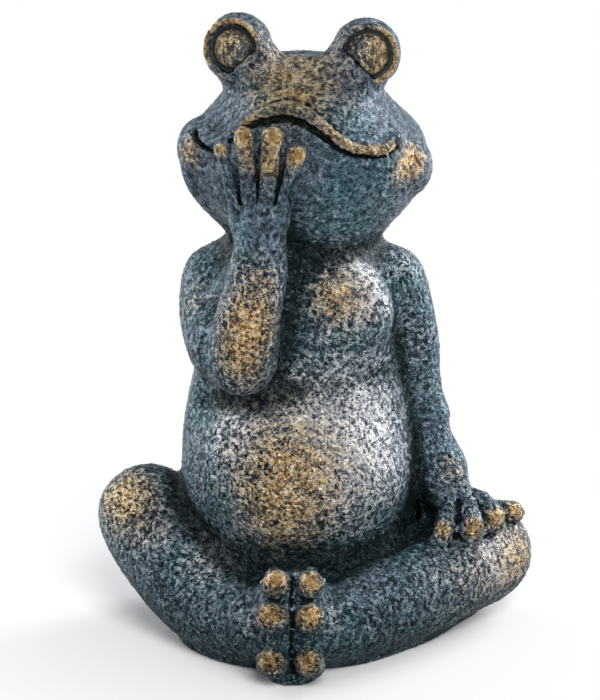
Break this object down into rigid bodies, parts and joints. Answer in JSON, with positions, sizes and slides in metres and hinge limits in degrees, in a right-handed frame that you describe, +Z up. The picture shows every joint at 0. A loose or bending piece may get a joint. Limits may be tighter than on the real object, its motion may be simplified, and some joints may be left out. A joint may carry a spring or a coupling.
{
  "type": "frog figurine",
  "caption": "Seated cast frog ornament with its legs folded, soles together, one hand held over its smiling mouth and the other on its knee; stands on a flat base for display",
  "frame": {"origin": "middle of the flat base, on the surface that the figurine stands on", "axes": "+Z up, the frog faces -Y, its own left side is +X"},
  "size_m": [0.1516, 0.1144, 0.2168],
  "materials": {
    "bronzed_resin": "stone-filled resin, stippled, dark verdigris paint with a gold dry brush and a satin coat",
    "bare_resin": "unpainted dark resin, flat",
    "stopper_rubber": "moulded black rubber",
    "dowel_wood": "plain turned dowel"
  },
  "bodies": {
    "root": {"torso": "bronzed_resin", "head": "bronzed_resin", "right_eyeball": "bronzed_resin", "left_eyeball": "bronzed_resin", "right_arm": "bronzed_resin", "left_arm": "bronzed_resin", "right_leg": "bronzed_resin", "left_leg": "bronzed_resin", "base_plate": "bare_resin", "filling_plug": "stopper_rubber", "neck_dowel": "dowel_wood", "right_shoulder_dowel": "dowel_wood", "left_shoulder_dowel": "dowel_wood", "right_hip_dowel": "dowel_wood", "left_hip_dowel": "dowel_wood"}
  },
  "joints": []
}
